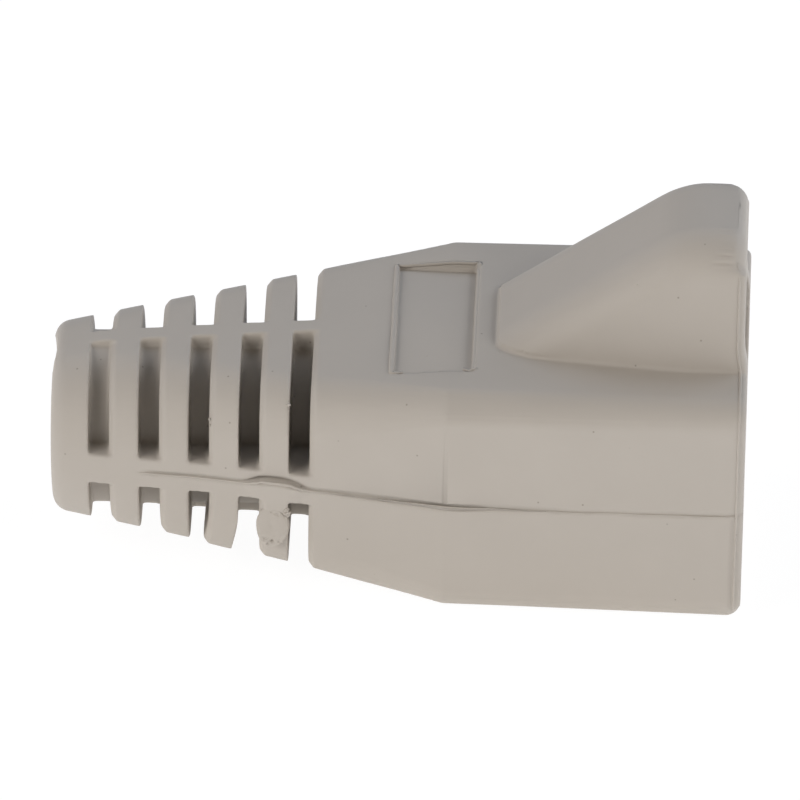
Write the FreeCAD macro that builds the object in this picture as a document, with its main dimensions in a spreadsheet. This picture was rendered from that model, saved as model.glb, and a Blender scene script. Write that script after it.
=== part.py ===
import FreeCAD, Part
import math
import os
import Sketcher

# A strain relief boot for a modular plug: one soft moulding, one solid.
# It is drawn along its cable axis: X runs from the cable end to the plug mouth, Z points up through
# the latch hood, and the mould parts on Z = 0. The finished body is then set down on its flat
# bottom, with its length centred on the origin.

# Driving sizes, in millimetres and degrees: name, value, what it is.
SIZES = (
    # ribbed neck, counted from the cable end
    ("end_ring_length", 1.50, "solid ring at the cable end"),
    ("rib_pitch", 1.98, "from one gap to the next"),
    ("gap_length", 0.82, "clear space between two ribs"),
    ("gap_count", 5, "gaps between the end ring and the body"),
    ("top_spine_width", 0.92, "spine left between the gaps above and below"),
    ("side_spine_height", 1.26, "spine left between the gaps at each side"),
    ("sleeve_radius", 3.40, "closed tube at the bottom of the gaps"),
    ("end_rounding", 0.70, "outer edge of the end ring"),
    ("rib_chamfer", 0.22, "edges of the ribs and the body that face the cable"),
    # cable bore
    ("cable_radius", 2.75, "round jacket that the bore takes"),
    ("cable_clearance", 0.10, "play round the jacket"),
    ("bore_lead_in", 0.25, "chamfer where the cable enters"),
    # outside of the moulding at its stations: width, height and corner radius
    ("end_width", 8.10, "at the cable end"),
    ("end_height", 6.50, "at the cable end"),
    ("end_corner", 3.18, "at the cable end"),
    ("first_gap_width", 8.90, "over the first gap"),
    ("first_gap_height", 7.24, "over the first gap"),
    ("first_gap_corner", 3.50, "over the first gap"),
    ("middle_gap_width", 10.04, "over the middle gap"),
    ("middle_gap_height", 7.80, "over the middle gap"),
    ("middle_gap_corner", 2.68, "over the middle gap"),
    ("last_gap_width", 11.70, "over the last gap"),
    ("last_gap_height", 8.34, "over the last gap"),
    ("last_gap_corner", 2.00, "over the last gap"),
    ("box_width", 14.06, "from the end of the taper to the mouth"),
    ("box_height", 9.64, "from the end of the taper to the mouth"),
    ("box_corner", 1.05, "from the end of the taper to the mouth"),
    ("taper_length", 5.36, "from the last gap to the end of the taper"),
    ("box_length", 11.74, "from the end of the taper to the mouth"),
    ("mouth_rounding", 0.30, "outer edge of the mouth"),
    # plug cavity
    ("plug_width", 11.70, "plug that the cavity takes"),
    ("plug_height", 7.40, "plug that the cavity takes"),
    ("plug_clearance", 0.15, "play round the plug on each side"),
    ("plug_corner", 0.60, "corners of the cavity"),
    ("plug_depth", 11.20, "parallel part of the cavity"),
    ("throat_length", 5.50, "funnel from the cavity to the bore"),
    ("throat_height", 6.00, "funnel from top to bottom, which leaves a ledge that stops the plug"),
    ("throat_step", 0.15, "ledge beside the bore at the foot of the funnel"),
    # latch hood
    ("hood_length", 9.87, "from its nose to the mouth"),
    ("hood_height", 5.22, "crown above the top face"),
    ("hood_nose_step", 0.32, "height of the small step at its nose"),
    ("hood_ramp_angle", 34.3, "slope of the ramp"),
    ("hood_knee_radius", 3.50, "between the ramp and the crown"),
    ("hood_flat_width", 3.00, "flat of the crown between its rounded shoulders"),
    ("hood_shoulder_radius", 1.90, "rounded shoulders of the crown"),
    ("hood_draft_angle", 9.65, "lean of its sides"),
    ("hood_wall", 1.00, "wall round the latch space"),
    # plain recessed panel on the top face
    ("panel_start", 3.12, "from the last gap to the panel"),
    ("panel_length", 3.24, "along the boot"),
    ("panel_width", 8.70, "across the boot"),
    ("panel_corner", 0.22, "corners of the panel"),
    ("panel_depth", 0.35, "floor below the top face"),
)

# Places along the boot, as expressions on the sheet.
GAP_RUN = "(Sizes.gap_count - 1) * Sizes.rib_pitch"
FIRST_GAP = "Sizes.end_ring_length"
FIRST_GAP_MIDDLE = f"({FIRST_GAP} + Sizes.gap_length / 2)"
MIDDLE_GAP_MIDDLE = f"({FIRST_GAP_MIDDLE} + {GAP_RUN} / 2)"
LAST_GAP_MIDDLE = f"({FIRST_GAP_MIDDLE} + {GAP_RUN})"
BODY_START = f"({FIRST_GAP} + {GAP_RUN} + Sizes.gap_length)"
TAPER_END = f"({BODY_START} + Sizes.taper_length)"
MOUTH = f"({TAPER_END} + Sizes.box_length)"
CAVITY_FLOOR = f"({MOUTH} - Sizes.plug_depth)"
THROAT = f"({CAVITY_FLOOR} - Sizes.throat_length)"
HOOD_NOSE = f"({MOUTH} - Sizes.hood_length)"
PANEL_MIDDLE = f"({BODY_START} + Sizes.panel_start + Sizes.panel_length / 2)"

# Sizes that follow from others.
TOP_FACE = "(Sizes.box_height / 2)"
BORE_RADIUS = "(Sizes.cable_radius + Sizes.cable_clearance)"
HOOD_RISE = "(Sizes.hood_height - Sizes.hood_nose_step)"
RAMP = "(Sizes.hood_ramp_angle * 1 deg)"
DRAFT = "(Sizes.hood_draft_angle * 1 deg)"

NEAR = 1e-4
START, END, CENTRE = range(1, 4)
X_AXIS, Y_AXIS = range(-1, -3, -1)
ORIGIN = (X_AXIS, START)

os.makedirs("parts", exist_ok=True)
doc = FreeCAD.newDocument("StrainReliefBoot")
sheet = doc.addObject("Spreadsheet::Sheet", "Sizes")
for row, (name, value, meaning) in enumerate(SIZES, start=1):
    sheet.set(f"A{row}", name)
    sheet.set(f"B{row}", str(value))
    sheet.set(f"C{row}", meaning)
    sheet.setAlias(f"B{row}", name)
doc.recompute()
boot = doc.addObject("PartDesign::Body", "Boot")
boot.Label = "boot"


def value_of(expression):
    """The number that an expression on the sheet gives now."""
    return float(sheet.evalExpression(expression))


def origin_part(role):
    """One of the body's own origin planes or axes."""
    return next(item for item in boot.Origin.OriginFeatures if item.Role == role)


# ---- sketches ----


def sketch_on(name, role, **offsets):
    """An empty sketch on an origin plane, shifted along the plane's own x, y or z."""
    sketch = boot.newObject("Sketcher::SketchObject", name)
    sketch.AttachmentSupport = [(origin_part(role), "")]
    sketch.MapMode = "FlatFace"
    for axis, expression in offsets.items():
        sketch.setExpression(f"AttachmentOffset.Base.{axis}", expression)
    return sketch


def line(sketch, start, end):
    """Adds a straight line and gives its number."""
    return sketch.addGeometry(Part.LineSegment(FreeCAD.Vector(*start), FreeCAD.Vector(*end)))


def arc(sketch, centre, radius, start_degrees, end_degrees):
    """Adds an arc, anticlockwise, and gives its number."""
    circle = Part.Circle(FreeCAD.Vector(*centre), FreeCAD.Vector(0, 0, 1), radius)
    return sketch.addGeometry(Part.ArcOfCircle(circle, math.radians(start_degrees), math.radians(end_degrees)))


def rule(sketch, kind, *where):
    """Adds one geometric constraint."""
    sketch.addConstraint(Sketcher.Constraint(kind, *where))


def measure(sketch, name, expression, kind, *where):
    """Adds one named dimension and binds it to the sheet."""
    number = sketch.addConstraint(Sketcher.Constraint(kind, *where, value_of(expression)))
    sketch.renameConstraint(number, name)
    sketch.setExpression(f"Constraints.{name}", expression)


def from_origin(sketch, name, expression, kind, sign, spot):
    """Dimensions a point from the sketch's origin, on its positive or its negative side."""
    ends = (*ORIGIN, *spot) if sign > 0 else (*spot, *ORIGIN)
    measure(sketch, name, expression, kind, *ends)


def rounded_rectangle(sketch, width, height, corner):
    """Draws a rectangle centred on the sketch, its corners no larger than its sides allow."""
    corner = f"min({corner}; 0.49 * {width}; 0.49 * {height})"
    across = value_of(width) / 2
    up = value_of(height) / 2
    radius = value_of(corner)
    flat = across - radius
    tall = up - radius
    top = line(sketch, (-flat, up), (flat, up))
    right = line(sketch, (across, tall), (across, -tall))
    bottom = line(sketch, (flat, -up), (-flat, -up))
    left = line(sketch, (-across, -tall), (-across, tall))
    top_right = arc(sketch, (flat, tall), radius, 0, 90)
    top_left = arc(sketch, (-flat, tall), radius, 90, 180)
    bottom_left = arc(sketch, (-flat, -tall), radius, 180, 270)
    bottom_right = arc(sketch, (flat, -tall), radius, 270, 360)
    rule(sketch, "Tangent", top, END, top_right, END)
    rule(sketch, "Tangent", right, START, top_right, START)
    rule(sketch, "Tangent", right, END, bottom_right, END)
    rule(sketch, "Tangent", bottom, START, bottom_right, START)
    rule(sketch, "Tangent", bottom, END, bottom_left, END)
    rule(sketch, "Tangent", left, START, bottom_left, START)
    rule(sketch, "Tangent", left, END, top_left, END)
    rule(sketch, "Tangent", top, START, top_left, START)
    for level in (top, bottom):
        rule(sketch, "Horizontal", level)
    for upright in (left, right):
        rule(sketch, "Vertical", upright)
    for other in (bottom_right, bottom_left, top_left):
        rule(sketch, "Equal", top_right, other)
    rule(sketch, "Symmetric", top, START, bottom, START, *ORIGIN)
    measure(sketch, "width", width, "DistanceX", left, START, right, START)
    measure(sketch, "height", height, "DistanceY", bottom, START, top, START)
    measure(sketch, "corner", corner, "Radius", top_right)


def section(name, place, width, height, corner):
    """A rounded section square to the boot's axis."""
    sketch = sketch_on(name, "YZ_Plane", z=place)
    rounded_rectangle(sketch, width, height, corner)
    return sketch


def outside_section(name, place, station):
    """The outside of the moulding at one of the stations that the sheet names."""
    return section(name, place, *(f"Sizes.{station}_{what}" for what in ("width", "height", "corner")))


def hood_section(name, wall):
    """The hood at its nose, inside a wall: flat crown, rounded shoulders and leaning sides."""
    radius = f"(Sizes.hood_shoulder_radius - {wall})"
    centre = f"({TOP_FACE} + Sizes.hood_nose_step - Sizes.hood_shoulder_radius)"
    foot = f"({HOOD_RISE} / 2)"
    spread = f"({centre} + {radius} * sin({DRAFT}) + {foot}) * tan({DRAFT})"
    flat = value_of("Sizes.hood_flat_width / 2")
    lean = value_of("Sizes.hood_draft_angle")
    up = value_of(centre)
    curve = value_of(radius)
    down = -value_of(foot)
    wide = flat + curve
    wider = wide + value_of(spread)
    sketch = sketch_on(name, "YZ_Plane", z=HOOD_NOSE)
    crown = line(sketch, (-flat, up + curve), (flat, up + curve))
    right_shoulder = arc(sketch, (flat, up), curve, lean, 90)
    right_side = line(sketch, (wide, up), (wider, down))
    base = line(sketch, (wider, down), (-wider, down))
    left_side = line(sketch, (-wider, down), (-wide, up))
    left_shoulder = arc(sketch, (-flat, up), curve, 90, 180 - lean)
    rule(sketch, "Tangent", crown, END, right_shoulder, END)
    rule(sketch, "Tangent", right_side, START, right_shoulder, START)
    rule(sketch, "Coincident", right_side, END, base, START)
    rule(sketch, "Coincident", base, END, left_side, START)
    rule(sketch, "Tangent", left_side, END, left_shoulder, END)
    rule(sketch, "Tangent", crown, START, left_shoulder, START)
    rule(sketch, "Horizontal", base)
    rule(sketch, "Equal", right_shoulder, left_shoulder)
    rule(sketch, "Symmetric", crown, START, crown, END, Y_AXIS)
    measure(sketch, "flat", "Sizes.hood_flat_width", "DistanceX", crown, START, crown, END)
    measure(sketch, "shoulder", radius, "Radius", right_shoulder)
    measure(sketch, "centre", centre, "DistanceY", *ORIGIN, right_shoulder, CENTRE)
    measure(sketch, "foot", foot, "DistanceY", base, START, *ORIGIN)
    measure(sketch, "right_spread", spread, "DistanceX", right_side, START, right_side, END)
    measure(sketch, "left_spread", spread, "DistanceX", left_side, START, left_side, END)
    return sketch


def hood_path(name):
    """The way of the hood's section: up the ramp, over the knee and level to the mouth."""
    knee_back = f"(Sizes.hood_knee_radius * tan({RAMP} / 2))"
    ramp_run = f"({HOOD_RISE} / tan({RAMP}) - {knee_back} * cos({RAMP}))"
    nose = value_of(HOOD_NOSE)
    rise = value_of(HOOD_RISE)
    slope = value_of("Sizes.hood_ramp_angle")
    knee_radius = value_of("Sizes.hood_knee_radius")
    ramp_end = nose + value_of(ramp_run)
    ramp_top = value_of(f"{ramp_run} * tan({RAMP})")
    level_start = ramp_end + value_of(f"{knee_back} * (1 + cos({RAMP}))")
    sketch = sketch_on(name, "XZ_Plane")
    ramp = line(sketch, (nose, 0), (ramp_end, ramp_top))
    knee = arc(sketch, (level_start, rise - knee_radius), knee_radius, 90, 90 + slope)
    level = line(sketch, (level_start, rise), (value_of(MOUTH), rise))
    rule(sketch, "Tangent", ramp, END, knee, END)
    rule(sketch, "Tangent", knee, START, level, START)
    rule(sketch, "Horizontal", level)
    rule(sketch, "PointOnObject", ramp, START, X_AXIS)
    measure(sketch, "nose", HOOD_NOSE, "DistanceX", *ORIGIN, ramp, START)
    measure(sketch, "mouth", MOUTH, "DistanceX", *ORIGIN, level, END)
    measure(sketch, "rise", HOOD_RISE, "DistanceY", *ORIGIN, level, END)
    measure(sketch, "knee", "Sizes.hood_knee_radius", "Radius", knee)
    measure(sketch, "ramp_run", ramp_run, "DistanceX", ramp, START, ramp, END)
    return sketch


def window_section(name):
    """Four windows, one in each quarter, between the spines and the sleeve."""
    spine_half = "(Sizes.top_spine_width / 2)"
    sill_half = "(Sizes.side_spine_height / 2)"
    clear_of_all = "Sizes.box_width"
    radius = value_of("Sizes.sleeve_radius")
    across = value_of(spine_half)
    up = value_of(sill_half)
    reach = value_of(clear_of_all)
    high = math.sqrt(radius ** 2 - across ** 2)
    wide = math.sqrt(radius ** 2 - up ** 2)
    sketch = sketch_on(name, "YZ_Plane", z=FIRST_GAP)
    for quarter, (y, z) in enumerate(((1, 1), (-1, 1), (-1, -1), (1, -1))):
        spine = line(sketch, (y * across, z * high), (y * across, z * reach))
        lid = line(sketch, (y * across, z * reach), (y * reach, z * reach))
        wall = line(sketch, (y * reach, z * reach), (y * reach, z * up))
        sill = line(sketch, (y * reach, z * up), (y * wide, z * up))
        at_spine = math.degrees(math.atan2(z * high, y * across)) % 360
        at_sill = math.degrees(math.atan2(z * up, y * wide)) % 360
        floor = arc(sketch, (0, 0), radius, min(at_spine, at_sill), max(at_spine, at_sill))
        sill_end, spine_end = (START, END) if y == z else (END, START)
        rule(sketch, "Coincident", spine, END, lid, START)
        rule(sketch, "Coincident", lid, END, wall, START)
        rule(sketch, "Coincident", wall, END, sill, START)
        rule(sketch, "Coincident", sill, END, floor, sill_end)
        rule(sketch, "Coincident", floor, spine_end, spine, START)
        rule(sketch, "Coincident", floor, CENTRE, *ORIGIN)
        for upright in (spine, wall):
            rule(sketch, "Vertical", upright)
        for level in (lid, sill):
            rule(sketch, "Horizontal", level)
        measure(sketch, f"floor_{quarter}", "Sizes.sleeve_radius", "Radius", floor)
        from_origin(sketch, f"spine_{quarter}", spine_half, "DistanceX", y, (spine, START))
        from_origin(sketch, f"wall_{quarter}", clear_of_all, "DistanceX", y, (wall, START))
        from_origin(sketch, f"sill_{quarter}", sill_half, "DistanceY", z, (sill, START))
        from_origin(sketch, f"lid_{quarter}", clear_of_all, "DistanceY", z, (lid, START))
    return sketch


# ---- features ----


def feature(kind, name, profile, **bindings):
    """A new feature on the body's tip, made from a profile, its sizes bound to the sheet."""
    made = boot.newObject(f"PartDesign::{kind}", name)
    made.Profile = profile
    for item, expression in bindings.items():
        made.setExpression(item, expression)
    return made


def cut(name, sketch, length, **settings):
    """Cuts a sketch to a length, and makes sure that it cuts."""
    before = boot.Tip.Shape.Volume
    made = feature("Pocket", name, sketch, Length=length)
    for setting, value in settings.items():
        setattr(made, setting, value)
    doc.recompute()
    if made.Shape.Volume > before - NEAR:
        raise RuntimeError(f"{name} cuts nothing")
    return made


def cut_forward(name, sketch, length):
    """Cuts a sketch along its normal."""
    return cut(name, sketch, length, Reversed=True)


def cut_both_ways(name, sketch, length):
    """Cuts a sketch half to each side of its plane."""
    return cut(name, sketch, length, Midplane=True)


def loft(kind, name, sections):
    """Joins sections by straight lines."""
    made = feature(f"{kind}Loft", name, sections[0])
    made.Sections = sections[1:]
    made.Ruled = True
    doc.recompute()


def sweep(kind, name, profile, path):
    """Carries a section along a path without turning it."""
    made = feature(f"{kind}Pipe", name, profile)
    made.Spine = (path, [])
    made.Mode = "Fixed"
    doc.recompute()


def dress(kind, name, measure_name, expression, wanted):
    """Rounds or chamfers the edges of the body's tip whose middle and ends pass a test."""
    base = boot.Tip
    chosen = []
    for number, edge in enumerate(base.Shape.Edges, start=1):
        middle = edge.valueAt(sum(edge.ParameterRange) / 2)
        ends = [vertex.Point for vertex in edge.Vertexes]
        if wanted(middle, ends):
            chosen.append(f"Edge{number}")
    made = boot.newObject(f"PartDesign::{kind}", name)
    made.Base = (base, chosen)
    made.setExpression(measure_name, expression)
    doc.recompute()


def lies_at(place, middle, ends):
    """True for an edge that lies wholly in the plane X = place."""
    return all(abs(spot.x - place) < NEAR for spot in (middle, *ends))


def off_axis(spot):
    """Distance of a point from the cable axis."""
    return math.hypot(spot.y, spot.z)


# ---- the boot, in the order in which it takes shape ----


def make_outside():
    """A neck that grows from an oval end ring into a square box."""
    stations = [
        outside_section("EndSection", "0", "end"),
        outside_section("FirstGapSection", FIRST_GAP_MIDDLE, "first_gap"),
        outside_section("MiddleGapSection", MIDDLE_GAP_MIDDLE, "middle_gap"),
        outside_section("LastGapSection", LAST_GAP_MIDDLE, "last_gap"),
        outside_section("BoxSection", TAPER_END, "box"),
    ]
    loft("Additive", "Neck", stations)
    feature("Pad", "Box", stations[-1], Length="Sizes.box_length")
    doc.recompute()
    dress("Fillet", "EndRounding", "Radius", "Sizes.end_rounding",
          lambda middle, ends: lies_at(0, middle, ends))


def make_gaps():
    """One ring of blind windows, repeated along the neck, which leaves ribs on four spines."""
    windows = cut_forward("Windows", window_section("WindowSection"), "Sizes.gap_length")
    gaps = boot.newObject("PartDesign::LinearPattern", "Gaps")
    gaps.Originals = [windows]
    gaps.Direction = (origin_part("X_Axis"), [""])
    gaps.setExpression("Length", GAP_RUN)
    gaps.setExpression("Occurrences", "Sizes.gap_count")
    boot.Tip = gaps
    doc.recompute()


def soften_edges():
    """Breaks the edges that face the cable, on ribs and body, and rounds the edge of the mouth."""
    pitch = value_of("Sizes.rib_pitch")
    first = value_of(f"{FIRST_GAP} + Sizes.gap_length")
    rear_faces = [first + number * pitch for number in range(round(value_of("Sizes.gap_count")))]
    spine_side = value_of("Sizes.top_spine_width / 2") + NEAR
    spine_top = value_of("Sizes.side_spine_height / 2") + NEAR
    sleeve = value_of("Sizes.sleeve_radius") + NEAR
    mouth = value_of(MOUTH)

    def on_rib(middle, ends):
        clear_of_spines = abs(middle.y) > spine_side and abs(middle.z) > spine_top
        return clear_of_spines and off_axis(middle) > sleeve and any(lies_at(x, middle, ends) for x in rear_faces)

    dress("Chamfer", "RibChamfer", "Size", "Sizes.rib_chamfer", on_rib)
    dress("Fillet", "MouthRounding", "Radius", "Sizes.mouth_rounding",
          lambda middle, ends: lies_at(mouth, middle, ends))


def make_panel():
    """The plain recessed panel on the top face, its floor level with the axis."""
    sketch = sketch_on("PanelOutline", "XY_Plane", x=PANEL_MIDDLE, z=f"{TOP_FACE} - Sizes.panel_depth")
    rounded_rectangle(sketch, "Sizes.panel_length", "Sizes.panel_width", "Sizes.panel_corner")
    cut_forward("Panel", sketch, "2 * Sizes.panel_depth")


def throat_outline(name, width):
    """The funnel seen from above, from the bore's width to the cavity's."""
    foot_half = f"({BORE_RADIUS} + Sizes.throat_step)"
    mouth_half = f"({width} / 2)"
    near = value_of(THROAT)
    far = value_of(CAVITY_FLOOR)
    narrow = value_of(foot_half)
    wide = value_of(mouth_half)
    sketch = sketch_on(name, "XY_Plane")
    foot = line(sketch, (near, narrow), (near, -narrow))
    right = line(sketch, (near, -narrow), (far, -wide))
    mouth = line(sketch, (far, -wide), (far, wide))
    left = line(sketch, (far, wide), (near, narrow))
    for first, second in ((foot, right), (right, mouth), (mouth, left), (left, foot)):
        rule(sketch, "Coincident", first, END, second, START)
    rule(sketch, "Symmetric", foot, START, foot, END, X_AXIS)
    rule(sketch, "Symmetric", mouth, START, mouth, END, X_AXIS)
    measure(sketch, "near", THROAT, "DistanceX", *ORIGIN, foot, START)
    measure(sketch, "far", CAVITY_FLOOR, "DistanceX", *ORIGIN, mouth, START)
    measure(sketch, "narrow", foot_half, "DistanceY", *ORIGIN, foot, START)
    measure(sketch, "wide", mouth_half, "DistanceY", *ORIGIN, mouth, END)
    return sketch


def make_cavity():
    """The inside: a box for the plug, a funnel to the neck and the space under the hood."""
    width = "(Sizes.plug_width + 2 * Sizes.plug_clearance)"
    height = "(Sizes.plug_height + 2 * Sizes.plug_clearance)"
    floor = section("CavitySection", CAVITY_FLOOR, width, height, "Sizes.plug_corner")
    cut_forward("PlugCavity", floor, "Sizes.plug_depth")
    cut_both_ways("Throat", throat_outline("ThroatOutline", width), "Sizes.throat_height")
    sweep("Subtractive", "LatchSpace", hood_section("LatchSection", "Sizes.hood_wall"), hood_path("LatchPath"))


def make_bore():
    """The round hole for the cable, from the end ring into the funnel."""
    sketch = sketch_on("BoreSection", "YZ_Plane")
    circle = sketch.addGeometry(Part.Circle(FreeCAD.Vector(), FreeCAD.Vector(0, 0, 1), value_of(BORE_RADIUS)))
    rule(sketch, "Coincident", circle, CENTRE, *ORIGIN)
    measure(sketch, "bore", BORE_RADIUS, "Radius", circle)
    cut_forward("Bore", sketch, f"{THROAT} + Sizes.throat_step")
    rim = value_of(BORE_RADIUS) + NEAR
    dress("Chamfer", "BoreLeadIn", "Size", "Sizes.bore_lead_in",
          lambda middle, ends: lies_at(0, middle, ends) and off_axis(middle) < rim)


make_outside()
sweep("Additive", "Hood", hood_section("HoodSection", "0"), hood_path("HoodPath"))
make_gaps()
soften_edges()
make_panel()
make_cavity()
make_bore()
boot.setExpression("Placement.Base.x", f"-{MOUTH} / 2")
boot.setExpression("Placement.Base.z", TOP_FACE)
doc.recompute()

for item in doc.Objects:
    if {"Invalid", "Error"} & set(item.State):
        raise RuntimeError(f"{item.Name} did not build: {item.State}")
if boot.Shape.isNull() or not boot.Shape.isValid() or len(boot.Shape.Solids) != 1:
    raise RuntimeError("the boot is not one valid solid")
boot.Shape.exportStep(f"parts/{boot.Label}.step")
box = boot.Shape.BoundBox
print(f"{boot.Label}: {boot.Shape.Volume:.2f} mm3, {box.XLength:.2f} x {box.YLength:.2f} x {box.ZLength:.2f} mm")
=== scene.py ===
import math

import bmesh
import bpy
from mathutils import Matrix, Vector, noise
from mathutils.bvhtree import BVHTree


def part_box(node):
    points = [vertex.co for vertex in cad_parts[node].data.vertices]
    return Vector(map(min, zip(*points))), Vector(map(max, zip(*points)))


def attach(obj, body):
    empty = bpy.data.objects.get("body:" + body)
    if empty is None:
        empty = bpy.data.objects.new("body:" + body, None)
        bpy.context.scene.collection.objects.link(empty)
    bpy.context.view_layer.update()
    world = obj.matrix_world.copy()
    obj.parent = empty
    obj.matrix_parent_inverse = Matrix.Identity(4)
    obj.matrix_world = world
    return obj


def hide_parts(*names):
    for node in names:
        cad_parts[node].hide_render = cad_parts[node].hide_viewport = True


# A strain relief boot for a modular plug, as it comes out of its two-part mould: one soft moulding
# with rounded edges, a parting flash along both sides, the broken-off gate on one rib, a plain panel
# with a raised rim on top, and a neck that droops a little.

MM = 0.001
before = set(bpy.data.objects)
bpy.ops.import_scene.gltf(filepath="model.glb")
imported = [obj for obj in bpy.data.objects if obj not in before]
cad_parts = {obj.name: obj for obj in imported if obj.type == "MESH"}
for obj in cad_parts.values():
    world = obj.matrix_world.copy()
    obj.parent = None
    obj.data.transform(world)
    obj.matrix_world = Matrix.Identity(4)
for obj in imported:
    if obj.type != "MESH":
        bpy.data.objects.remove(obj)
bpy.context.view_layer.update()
low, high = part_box("boot")

# Places along the boot, from the cable end to the mouth, and levels from the cable axis.
CABLE_END = low.x
MOUTH = high.x
AXIS = 4.82 * MM
CROWN = high.z
NECK_END = CABLE_END + 10.24 * MM
TAPER_END = CABLE_END + 15.60 * MM
PARALLEL_START = CABLE_END + 20.30 * MM
TOP_FACE = 2 * AXIS
RIB_PITCH = 1.98 * MM
FIRST_RIB = CABLE_END + 2.90 * MM
FIRST_GAP = CABLE_END + 1.91 * MM
HALF_GAP = 0.41 * MM

# How fine the moulded skin is, and how round its edges come out.
VOXEL = 0.070 * MM
EDGE_SMOOTHING = 5
SKIN_TRIANGLES = 185000


# ---- meshes ----


def mesh_object(name, bm):
    """Turns a bmesh into a smooth-shaded object of the scene."""
    mesh = bpy.data.meshes.new(name)
    bm.to_mesh(mesh)
    bm.free()
    mesh.shade_smooth()
    made = bpy.data.objects.new(name, mesh)
    bpy.context.scene.collection.objects.link(made)
    return made


def merged_copy(node):
    """A bmesh of a node of the frame with its loose triangles joined up."""
    bm = bmesh.new()
    bm.from_mesh(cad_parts[node].data)
    bmesh.ops.remove_doubles(bm, verts=bm.verts, dist=1e-7)
    return bm


def bake(made):
    """Replaces an object's data by the mesh that its modifiers or its bevel make of it."""
    depsgraph = bpy.context.evaluated_depsgraph_get()
    mesh = bpy.data.meshes.new_from_object(made.evaluated_get(depsgraph))
    mesh.name = made.name
    mesh.shade_smooth()
    if made.type == "MESH":
        made.modifiers.clear()
        made.data = mesh
        return made
    baked = bpy.data.objects.new(made.name, mesh)
    bpy.context.scene.collection.objects.link(baked)
    bpy.data.objects.remove(made)
    baked.name = mesh.name
    return baked


def join_shells(made, voxel, smoothing):
    """Joins an object's overlapping shells into one skin with soft edges."""
    remesh = made.modifiers.new("skin", "REMESH")
    remesh.mode = "VOXEL"
    remesh.voxel_size = voxel
    smooth = made.modifiers.new("soft_edges", "SMOOTH")
    smooth.factor = 0.5
    smooth.iterations = smoothing
    bake(made)


def thin_out(made, triangles):
    """Takes triangles off the flat stretches until no more than the given number is left."""
    decimate = made.modifiers.new("thin_out", "DECIMATE")
    decimate.ratio = min(1.0, triangles / sum(len(face.vertices) - 2 for face in made.data.polygons))
    bake(made)


def move_vertices(made, moved):
    """Sets each vertex of an object to where a function of its place and normal puts it."""
    places = []
    for vertex in made.data.vertices:
        places.extend(moved(vertex.co.copy(), vertex.normal))
    made.data.vertices.foreach_set("co", places)
    made.data.update()


def bead(name, points, radii, closed=False):
    """A thin round ridge along points, with a radius at each of them."""
    curve = bpy.data.curves.new(name, "CURVE")
    curve.dimensions = "3D"
    curve.bevel_depth = 1.0
    curve.bevel_resolution = 3
    curve.use_fill_caps = True
    spline = curve.splines.new("POLY")
    spline.points.add(len(points) - 1)
    for spot, place, radius in zip(spline.points, points, radii):
        spot.co = (*place, 1)
        spot.radius = radius
    spline.use_cyclic_u = closed
    made = bpy.data.objects.new(name, curve)
    bpy.context.scene.collection.objects.link(made)
    return bake(made)


def smoothstep(low_end, high_end, value):
    """Rises smoothly from 0 to 1 between two values, in either order."""
    share = min(1.0, max(0.0, (value - low_end) / (high_end - low_end)))
    return share * share * (3 - 2 * share)


# ---- how the soft moulding has settled ----

DROOP = math.radians(1.75)
DROOP_START = CABLE_END + 13.0 * MM
DROOP_FULL = CABLE_END + 3.5 * MM
BENT_RIB = FIRST_RIB + 2 * RIB_PITCH
BENT_RIB_SHIFT = 0.32 * MM
BENT_RIB_HALF = 0.60 * MM
BENT_RIB_EDGE = 1.00 * MM
SIDEWAYS = 0.5
BELOW_HOOD = 2.03 * AXIS
SHOULDER_SOFTNESS = 0.39 * MM
HOOD_SET_BACK = 0.16 * MM
BROW_RADIUS = 0.85 * MM
ROUND_FROM = 0.15
ROUND_FULL = 0.60
CROWN_FLAT = 1.50 * MM
CROWN_ARC = 1.90 * MM
SILL_RADIUS = 0.60 * MM
SILL_FLAT = 5.98 * MM
SILL_ARC = 1.05 * MM
UNEVENNESS = 0.012 * MM
UNEVEN_SPACING = 3.0 * MM
UNEVEN_SEED = 7


def soften_shoulder(place, normal):
    """Rounds the long corners more where the taper meets the parallel sleeve."""
    side = Vector((0, normal.y, normal.z))
    outward = side.dot(Vector((0, place.y, place.z - AXIS)))
    if side.length < SIDEWAYS or outward <= 0 or place.z > BELOW_HOOD:
        return place
    if place.x < TAPER_END:
        share = (place.x - NECK_END) / (TAPER_END - NECK_END)
    else:
        share = (PARALLEL_START - place.x) / (PARALLEL_START - TAPER_END)
    side.normalize()
    extra = SHOULDER_SOFTNESS * max(0.0, share) * (abs(side.y) + abs(side.z) - 1)
    return place - extra * side


def round_end(place, end, level, flat, arc, radius, upward):
    """Rounds the edge of the end face along a flat and the arcs on both sides of it, and fades out
    where the arcs turn down into the sides."""
    above = upward * (place.z - level) + arc
    beside = max(0.0, abs(place.y) - flat)
    reach = math.hypot(above, beside)
    if above <= 0 or reach == 0:
        return place
    radius *= smoothstep(ROUND_FROM, ROUND_FULL, above / reach)
    corner = Vector((place.x - end + radius, radius - arc + reach))
    if min(corner) <= 0 or corner.length <= radius:
        return place
    corner *= radius / corner.length
    scale = (arc - radius + corner.y) / reach
    across = math.copysign(abs(place.y) + beside * (scale - 1), place.y)
    return Vector((end - radius + corner.x, across, place.z + upward * above * (scale - 1)))


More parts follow.
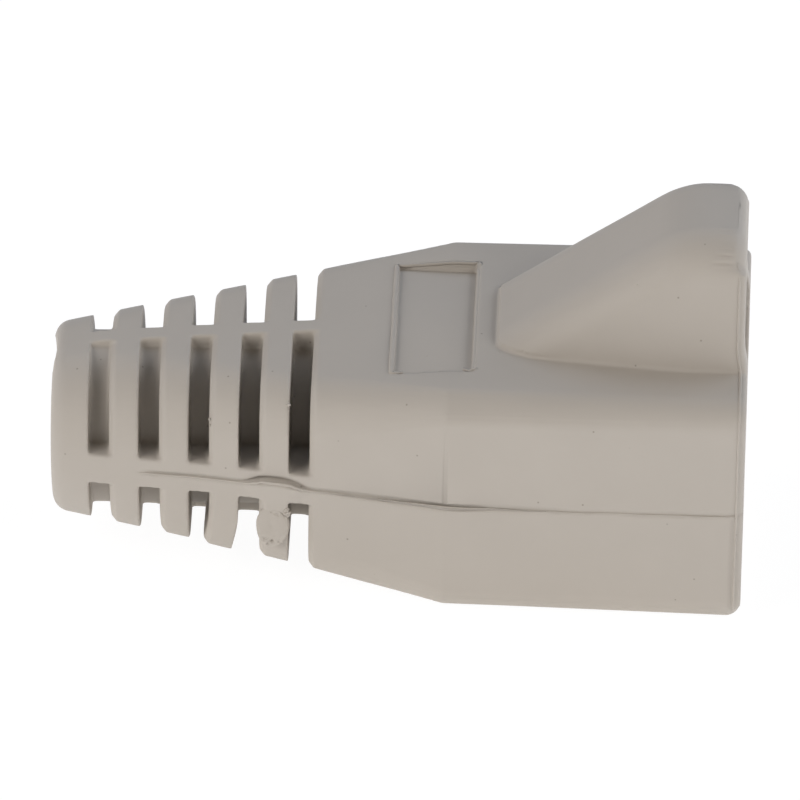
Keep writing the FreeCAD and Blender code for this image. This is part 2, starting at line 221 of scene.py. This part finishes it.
def round_mouth(place):
    """Sets the hood's end back a little, and rounds its brow and the sill below the mouth."""
    raised = smoothstep(TOP_FACE - 0.2 * MM, TOP_FACE + 1.0 * MM, place.z)
    set_back = HOOD_SET_BACK * raised
    place.x -= set_back * smoothstep(MOUTH - 3 * MM, MOUTH - 0.2 * MM, place.x)
    place = round_end(place, MOUTH - set_back, CROWN, CROWN_FLAT, CROWN_ARC, BROW_RADIUS, 1)
    return round_end(place, MOUTH, low.z, SILL_FLAT, SILL_ARC, SILL_RADIUS, -1)


def bend_rib(place):
    """Pushes the lower near end of one rib towards the cable end."""
    across = abs(place.x - BENT_RIB)
    hold = 1 - smoothstep(BENT_RIB_HALF, BENT_RIB_EDGE, across)
    down = smoothstep(AXIS - 1.4 * MM, AXIS - 4.0 * MM, place.z)
    hang = down * smoothstep(0.5 * MM, -1.5 * MM, place.y)
    return place - Vector((BENT_RIB_SHIFT * hold * hang, 0, 0))


def droop(place):
    """Lets the neck sink under its own weight, more and more towards the cable end."""
    if place.x >= DROOP_START:
        return place
    reach = DROOP_START - DROOP_FULL
    bent = min(DROOP_START - place.x, reach)
    angle = DROOP * bent / reach
    sunk = DROOP * bent * bent / (2 * reach) + DROOP * max(0.0, DROOP_FULL - place.x)
    height = place.z - AXIS
    x = place.x - height * math.sin(angle)
    return Vector((x, place.y, AXIS - sunk + height * math.cos(angle)))


def settle(place, normal):
    """Moves a point of the surface to where the soft moulding has come to rest."""
    settled = soften_shoulder(place, normal)
    settled = bend_rib(round_mouth(settled))
    settled += UNEVENNESS * noise.noise_vector(place / UNEVEN_SPACING)
    return droop(settled)


# ---- materials ----


def colour(code):
    """An sRGB hex code as the linear colour that a shader takes."""
    parts = [int(code[i:i + 2], 16) / 255 for i in (0, 2, 4)]
    return (*(p / 12.92 if p <= 0.04045 else ((p + 0.055) / 1.055) ** 2.4 for p in parts), 1)


def add_node(tree, kind, settings=None, inputs=None):
    """Adds a shader node, sets its settings and sets or links its inputs."""
    node = tree.nodes.new(kind)
    for name, value in (settings or {}).items():
        setattr(node, name, value)
    for name, value in (inputs or {}).items():
        if isinstance(value, bpy.types.NodeSocket):
            tree.links.new(value, node.inputs[name])
        else:
            node.inputs[name].default_value = value
    return node


def empty_material(name):
    """A material with nothing in its node tree."""
    material = bpy.data.materials.new(name)
    material.use_nodes = True
    material.node_tree.nodes.clear()
    return material


# How far apart the clouds, waves and specks of the moulding lie, and how coarse its grain is.
CLOUD_SPACING = 3.5 * MM
WAVE_SPACING = 0.9 * MM
WAVE_DEPTH = 0.03 * MM
GRAIN_SPACING = 0.12 * MM
GRAIN_DEPTH = 0.004 * MM
SPECK_SPACING = 1.1 * MM
SPECK_RADIUS = 0.055 * MM
SPECK_CORE = 0.4


def moulded_pvc():
    """Plasticised PVC, injection moulded in a spark-eroded tool: warm light grey, matte, with a very
    fine grain, faint flow clouds and a few dark specks of burnt material."""
    material = empty_material("moulded_pvc")
    tree = material.node_tree
    place = add_node(tree, "ShaderNodeTexCoord").outputs["Object"]
    clouds = add_node(tree, "ShaderNodeTexNoise", None, {
        "Vector": place, "Scale": 1 / CLOUD_SPACING, "Detail": 3.0, "Roughness": 0.55})
    tint = add_node(tree, "ShaderNodeMix", {"data_type": "RGBA"}, {
        0: clouds.outputs["Fac"], 6: colour("B5AEA5"), 7: colour("BBB4AB")})
    spots = add_node(tree, "ShaderNodeTexVoronoi", None, {
        "Vector": place, "Scale": 1 / SPECK_SPACING})
    speck = add_node(tree, "ShaderNodeMapRange", None, {
        "Value": spots.outputs["Distance"], "From Min": SPECK_RADIUS / SPECK_SPACING,
        "From Max": SPECK_CORE * SPECK_RADIUS / SPECK_SPACING})
    specked = add_node(tree, "ShaderNodeMix", {"data_type": "RGBA"}, {
        0: speck.outputs[0], 6: tint.outputs[2], 7: colour("968E84")})
    grain = add_node(tree, "ShaderNodeTexNoise", None, {
        "Vector": place, "Scale": 1 / GRAIN_SPACING, "Detail": 2.0, "Roughness": 0.5})
    waves = add_node(tree, "ShaderNodeTexNoise", None, {
        "Vector": place, "Scale": 1 / WAVE_SPACING, "Detail": 2.0, "Roughness": 0.5})
    wavy = add_node(tree, "ShaderNodeBump", None, {
        "Strength": 0.25, "Distance": WAVE_DEPTH, "Height": waves.outputs["Fac"]})
    grainy = add_node(tree, "ShaderNodeBump", None, {
        "Strength": 0.35, "Distance": GRAIN_DEPTH, "Height": grain.outputs["Fac"],
        "Normal": wavy.outputs["Normal"]})
    shader = add_node(tree, "ShaderNodeBsdfPrincipled", None, {
        "Base Color": specked.outputs[2], "Roughness": 0.60, "IOR": 1.53,
        "Normal": grainy.outputs["Normal"]})
    add_node(tree, "ShaderNodeOutputMaterial", None, {"Surface": shader.outputs[0]})
    return material


# How strongly the floor glows: to the camera, for which 1 is white, and as a light on the boot.
GLOW_SEEN = 0.94
GLOW_CAST = 0.43


def white_paper():
    """Matt paper on a dim light table: white to the camera, it keeps the boot's soft shadow, and it
    lights the boot from below."""
    material = empty_material("white_paper")
    tree = material.node_tree
    seen = add_node(tree, "ShaderNodeLightPath").outputs["Is Camera Ray"]
    tint = add_node(tree, "ShaderNodeMix", {"data_type": "RGBA"}, {
        0: seen, 6: colour("F0F0F0"), 7: colour("5F5F5F")})
    matt = add_node(tree, "ShaderNodeBsdfDiffuse", None, {"Color": tint.outputs[2]})
    lit = add_node(tree, "ShaderNodeMapRange", None, {
        "Value": seen, "To Min": GLOW_CAST, "To Max": GLOW_SEEN})
    glow = add_node(tree, "ShaderNodeEmission", None, {"Strength": lit.outputs[0]})
    both = add_node(tree, "ShaderNodeAddShader", None, {0: matt.outputs[0], 1: glow.outputs[0]})
    add_node(tree, "ShaderNodeOutputMaterial", None, {"Surface": both.outputs[0]})
    return material


# ---- the moulding and its marks ----

# The parting flash is a step in the skin with a crease above it and a crisp bead along its edge. It
# climbs over the gate, whose fan spreads below it.
FLASH_START = CABLE_END + 3.2 * MM
FLASH_END = MOUTH - 0.20 * MM
FLASH_STEP = 0.10 * MM
FLASH_RADIUS = 0.034 * MM
FLASH_RAISED = 0.022 * MM
FLASH_SUNK = 0.026 * MM
FLASH_SWELL = 1.1
FLASH_WANDER = 0.05 * MM
FLASH_WAVE = 1.6 * MM
FLASH_FAINT = 0.6
CREASE_ABOVE = 0.075 * MM
CREASE_WIDTH = 0.050 * MM
CREASE_DEPTH = 0.09 * MM
RIDGE_HEIGHT = 0.050 * MM
RIDGE_FALL = 0.35 * MM
STEP_TOP = -0.05 * MM
STEP_FOOT = 0.02 * MM
MARKS_REACH = 2.0 * MM
GATE_RIB = FIRST_RIB + 3 * RIB_PITCH
GATE_MIDDLE = GATE_RIB + 0.1 * MM
GATE_REACH = 1.0 * MM
GATE_LIFT = 0.19 * MM
FAN_HEIGHT = 0.22 * MM
FAN_DROP = 1.05 * MM
FAN_TOP_HALF = 1.15 * MM
FAN_FOOT_HALF = 0.55 * MM
FAN_THINNING = 0.72
FAN_FADE = 0.9
FAN_GONE = 1.3
FAR_OUT = 20 * MM


def gate_share(x, side):
    """How far the gate on the near side swells the flash at a place along the boot."""
    return math.exp(-((x - GATE_MIDDLE) / GATE_REACH) ** 4) if side < 0 else 0.0


def flash_level(x, side):
    """The height of the parting flash, which wanders a little and climbs over the gate."""
    wander = noise.noise((x / FLASH_WAVE, side, 0))
    return AXIS + FLASH_WANDER * wander + GATE_LIFT * gate_share(x, side)


def flash_strength(x):
    """Thin on the neck's small end, full on the shoulder and faint towards the mouth."""
    ends = smoothstep(FLASH_START, FLASH_START + 1.0 * MM, x)
    full = smoothstep(NECK_END + 8 * MM, NECK_END + 1 * MM, x)
    return ends * (FLASH_FAINT + (1 - FLASH_FAINT) * full)


def gate_fan(x, below):
    """How far the gate's fan stands out, a given way below the flash: it is wide on top, and narrow
    and thin at its foot."""
    down = below / FAN_DROP
    if down > FAN_GONE:
        return 0.0
    half = FAN_TOP_HALF + (FAN_FOOT_HALF - FAN_TOP_HALF) * max(0.0, down)
    across = math.exp(-((x - GATE_MIDDLE) / half) ** 6)
    thick = 1 - FAN_THINNING * min(1.0, max(0.0, down))
    return FAN_HEIGHT * across * thick * smoothstep(FAN_GONE, FAN_FADE, down)


def flash_marks(place, normal):
    """Presses in the crease above the parting flash, and raises the skin below it and at the gate."""
    side = math.copysign(1, normal.y)
    if abs(normal.y) < SIDEWAYS or side * place.y < 0 or place.x < FLASH_START:
        return place
    below = flash_level(place.x, side) - place.z
    if abs(below) > MARKS_REACH:
        return place
    gate = gate_share(place.x, side)
    above = (-below - CREASE_ABOVE * (1 + 0.6 * gate)) / (CREASE_WIDTH * (1 + 0.8 * gate))
    groove = CREASE_DEPTH * (1 + 2.2 * gate) * math.exp(-above * above)
    ridge = RIDGE_HEIGHT * math.exp(-max(0.0, below) / RIDGE_FALL)
    fan = gate_fan(place.x, below) if side < 0 else 0.0
    lip = smoothstep(STEP_TOP, STEP_FOOT, below)
    strength = flash_strength(place.x)
    place.y += side * (lip * (fan + ridge * strength) - groove * strength)
    return place


def lip_crease(place, normal):
    """Presses in the fine crease along the lip round the mouth, on the lower half of the sides."""
    across = (place.x - MOUTH + LIP_BACK + LIP_CREASE_GAP) / LIP_CREASE_WIDTH
    if abs(across) > 3 or abs(normal.y) < SIDEWAYS or normal.y * place.y < 0:
        return place
    depth = LIP_CREASE_DEPTH * smoothstep(AXIS + 0.3 * MM, AXIS - 0.3 * MM, place.z)
    place.y -= math.copysign(depth * math.exp(-across * across), normal.y)
    return place


def mould_marks(place, normal):
    """All the marks of the mould that lie in the skin itself."""
    return lip_crease(flash_marks(place, normal), normal)


def moulded_skin():
    """The moulding itself, its edges softened from the solid."""
    skin = mesh_object("moulded_boot", merged_copy("boot"))
    join_shells(skin, VOXEL, EDGE_SMOOTHING)
    move_vertices(skin, mould_marks)
    thin_out(skin, SKIN_TRIANGLES)
    return skin


def near_spot(surface, x, level, side=-1):
    """Where the outside lies on one side of the boot, and which way it faces."""
    return surface.ray_cast(Vector((x, side * FAR_OUT, level)), Vector((0, -side, 0)))[:2]


def parting_flash(surface, side):
    """The crisp edge of the step where the two halves of the mould meet, along one side."""
    points = []
    radii = []
    for step in range(int((FLASH_END - FLASH_START) / FLASH_STEP) + 1):
        x = FLASH_START + step * FLASH_STEP
        level = flash_level(x, side)
        swell = 1 + FLASH_SWELL * gate_share(x, side)
        spot = near_spot(surface, x, level - FLASH_RAISED, side)[0]
        points.append(Vector((x, spot.y - side * swell * FLASH_SUNK, level + swell * FLASH_RAISED)))
        uneven = 1 + 0.2 * noise.noise((x / (0.5 * MM), side, 5))
        radii.append(FLASH_RADIUS * swell * (0.2 + 0.8 * flash_strength(x)) * uneven)
    return bead("parting_flash_near" if side < 0 else "parting_flash_far", points, radii)


LIP_BACK = 0.27 * MM
LIP_RADIUS = 0.055 * MM
LIP_CREASE_GAP = 0.13 * MM
LIP_CREASE_WIDTH = 0.08 * MM
LIP_CREASE_DEPTH = 0.045 * MM
LIP_STEPS = 240


def mouth_lip(surface):
    """The fine raised line round the mouth, where the core closes on the mould."""
    x = MOUTH - LIP_BACK
    centre = Vector((x, 0, AXIS))
    points = []
    for step in range(LIP_STEPS):
        angle = 2 * math.pi * step / LIP_STEPS
        outward = Vector((0, math.cos(angle), math.sin(angle)))
        points.append(surface.ray_cast(centre + FAR_OUT * outward, -outward)[0])
    return bead("mouth_lip", points, [LIP_RADIUS] * LIP_STEPS, closed=True)


PANEL_LEFT = CABLE_END + 13.34 * MM
PANEL_RIGHT = CABLE_END + 16.60 * MM
PANEL_HALF = 4.42 * MM
PANEL_TURN = 0.45 * MM
RIM_RADIUS = 0.11 * MM
RIM_STEP = 0.12 * MM


def panel_rim(surface):
    """The raised rim round the plain panel, which dies out on the near side."""
    corners = [
        (PANEL_LEFT + PANEL_TURN, -PANEL_HALF),
        (PANEL_LEFT, -PANEL_HALF),
        (PANEL_LEFT, PANEL_HALF),
        (PANEL_RIGHT, PANEL_HALF),
        (PANEL_RIGHT, -PANEL_HALF),
        (PANEL_RIGHT - PANEL_TURN, -PANEL_HALF),
    ]
    track = []
    for start, end in zip(corners, corners[1:]):
        start, end = Vector(start), Vector(end)
        steps = max(2, round((end - start).length / RIM_STEP))
        track.extend(start.lerp(end, step / steps) for step in range(steps))
    track.append(Vector(corners[-1]))
    points = []
    radii = []
    for number, spot in enumerate(track):
        hit = surface.ray_cast(Vector((spot.x, spot.y, FAR_OUT)), Vector((0, 0, -1)))[0]
        points.append(hit)
        ends = smoothstep(0, 3, number) * smoothstep(len(track) - 1, len(track) - 4, number)
        uneven = 1 + 0.15 * noise.noise((*(spot / (0.7 * MM)), 3))
        radii.append(RIM_RADIUS * max(0.05, ends) * uneven)
    return bead("panel_rim", points, radii)


GATE_VOXEL = 0.035 * MM
STUB_LEVEL = AXIS - 1.70 * MM
STUB_HALF = Vector((0.56, 0.77, 0.16)) * MM
STUB_LEAN = 0.26
STUB_SQUARENESS = 0.8
PIT_SPACING = 0.16 * MM
PIT_DEPTH = 0.16 * MM
SWELL_SPACING = 0.5 * MM
SWELL_HEIGHT = 0.020 * MM


def blob(bm, centre, facing, half_sizes, squareness):
    """Adds a flattened, more or less square-edged ball that faces away from the surface."""
    made = bmesh.ops.create_uvsphere(bm, u_segments=64, v_segments=32, radius=1.0)
    for vertex in made["verts"]:
        rim = math.hypot(vertex.co.x, vertex.co.y)
        vertex.co *= 1 + squareness * rim * abs(vertex.co.z)
    turn = facing.to_track_quat("Z", "Y").to_matrix().to_4x4()
    shape = Matrix.Translation(centre) @ turn @ Matrix.Diagonal((*half_sizes, 1))
    bmesh.ops.transform(bm, matrix=shape, verts=made["verts"])


def pit(place, normal):
    """Swells the stub's surface unevenly, and pits it near both ends, where it was torn off."""
    torn = smoothstep(0.35, 0.75, abs(place.z - STUB_LEVEL) / STUB_HALF.y)
    pits = min(0.0, noise.noise(place / PIT_SPACING) + 0.12)
    swell = noise.noise(place / SWELL_SPACING)
    return place + normal * (SWELL_HEIGHT * swell + PIT_DEPTH * torn * pits)


def gate_vestige(surface):
    """The stub where the sprue was broken off, low on a rib, leaning out at its lower end."""
    bm = bmesh.new()
    stub, facing = near_spot(surface, GATE_RIB - 0.02 * MM, STUB_LEVEL)
    facing = (facing + Vector((0, 0, STUB_LEAN))).normalized()
    blob(bm, stub, facing, STUB_HALF, STUB_SQUARENESS)
    vestige = mesh_object("gate_vestige", bm)
    join_shells(vestige, GATE_VOXEL, 3)
    move_vertices(vestige, pit)
    return vestige


# Loose burrs: which gap's edge, to its cable or its mouth side, how far above the axis, how big.
BURRS = [
    (2, 1, 2.45 * MM, 0.060 * MM),
    (2, 1, 2.25 * MM, 0.040 * MM),
    (4, -1, 3.45 * MM, 0.075 * MM),
    (4, -1, 3.30 * MM, 0.045 * MM),
    (4, -1, -1.12 * MM, 0.120 * MM),
    (4, -1, -0.95 * MM, 0.080 * MM),
]


def burrs(surface):
    """Small torn crumbs of the moulding left on the edges of the gaps."""
    bm = bmesh.new()
    for number, (gap, side, height, size) in enumerate(BURRS):
        x = FIRST_GAP + gap * RIB_PITCH + side * (HALF_GAP + 0.06 * MM)
        spot = near_spot(surface, x, AXIS + height)[0]
        made = bmesh.ops.create_icosphere(bm, subdivisions=3, radius=size)
        for vertex in made["verts"]:
            ragged = noise.noise(vertex.co / size * 1.4 + Vector((number, 0, 0)))
            vertex.co *= 1 + 0.9 * ragged
            vertex.co.x -= side * 0.3 * size
        bmesh.ops.translate(bm, vec=spot, verts=made["verts"])
    return mesh_object("burrs", bm)


def moulding():
    """The whole moulding with its marks, settled together."""
    noise.seed_set(UNEVEN_SEED)
    skin = moulded_skin()
    bm = bmesh.new()
    bm.from_mesh(skin.data)
    surface = BVHTree.FromBMesh(bm)
    bm.free()
    marks = [
        parting_flash(surface, -1),
        parting_flash(surface, 1),
        mouth_lip(surface),
        panel_rim(surface),
        gate_vestige(surface),
        burrs(surface),
    ]
    pvc = moulded_pvc()
    for piece in [skin, *marks]:
        move_vertices(piece, settle)
        piece.data.materials.clear()
        piece.data.materials.append(pvc)
        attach(piece, "root")
    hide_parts("boot")


# ---- the studio ----


def white_floor():
    """The pale floor that the boot lies on."""
    bm = bmesh.new()
    bmesh.ops.create_grid(bm, x_segments=1, y_segments=1, size=2.0)
    floor = mesh_object("floor", bm)
    floor.data.materials.append(white_paper())


LAMP_DISTANCE = 0.30
LAMP_SIZE = 0.20
WORLD_SEEN = 1.0
WORLD_CAST = 0.02


def soft_lamp(name, azimuth, elevation, power, tint):
    """A square soft box that faces the boot, placed by its angles from the front and the floor."""
    azimuth, elevation = math.radians(azimuth), math.radians(elevation)
    level = LAMP_DISTANCE * math.cos(elevation)
    light = bpy.data.lights.new(name, "AREA")
    light.shape = "SQUARE"
    light.size = LAMP_SIZE
    light.energy = power
    light.color = colour(tint)[:3]
    lamp = bpy.data.objects.new(name, light)
    lamp.location = (
        level * math.sin(azimuth),
        -level * math.cos(azimuth),
        LAMP_DISTANCE * math.sin(elevation),
    )
    aim = Vector((0, 0, AXIS))
    lamp.rotation_euler = (aim - lamp.location).to_track_quat("-Z", "Y").to_euler()
    bpy.context.scene.collection.objects.link(lamp)


def studio():
    """Plain soft light: a soft box on each side of the camera and three cooler ones from behind."""
    white_floor()
    world = bpy.data.worlds.new("studio")
    bpy.context.scene.world = world
    world.use_nodes = True
    tree = world.node_tree
    seen = add_node(tree, "ShaderNodeLightPath").outputs["Is Camera Ray"]
    strength = add_node(tree, "ShaderNodeMapRange", None, {
        "Value": seen, "To Min": WORLD_CAST, "To Max": WORLD_SEEN})
    tree.links.new(strength.outputs[0], tree.nodes["Background"].inputs["Strength"])
    tree.nodes["Background"].inputs["Color"].default_value = (1, 1, 1, 1)
    soft_lamp("left", -56, 27, 0.51, "FFFBF7")
    soft_lamp("right", 58, 28, 0.38, "FFFBF7")
    soft_lamp("back", 180, 50, 0.13, "DCEBFF")
    soft_lamp("back_right", 125, 32, 0.28, "E6F0FF")
    soft_lamp("back_left", -125, 32, 0.18, "F4F6FF")


# ---- the camera ----

VIEW_WIDTH = 31.60 * MM
DISTANCE = 1.0
ELEVATION = math.radians(29.0)
YAW = math.radians(0.9)
ROLL = math.radians(1.4)
AIM = Vector((-0.025 * MM, 0, AXIS + 0.925 * MM))


def camera():
    """Looks along the boot's side from above, with the mouth to the right."""
    data = bpy.data.cameras.new("camera")
    data.sensor_width = 36
    data.lens = data.sensor_width * DISTANCE / VIEW_WIDTH
    data.clip_start = 0.01
    data.clip_end = 10
    made = bpy.data.objects.new("camera", data)
    turn = Matrix.Rotation(YAW, 4, "Z")
    turn @= Matrix.Rotation(math.pi / 2 - ELEVATION, 4, "X")
    turn @= Matrix.Rotation(ROLL, 4, "Z")
    made.matrix_world = Matrix.Translation(AIM) @ turn @ Matrix.Translation((0, 0, DISTANCE))
    bpy.context.scene.collection.objects.link(made)
    bpy.context.scene.camera = made


moulding()
studio()
camera()
bpy.context.scene.view_settings.view_transform = "Standard"
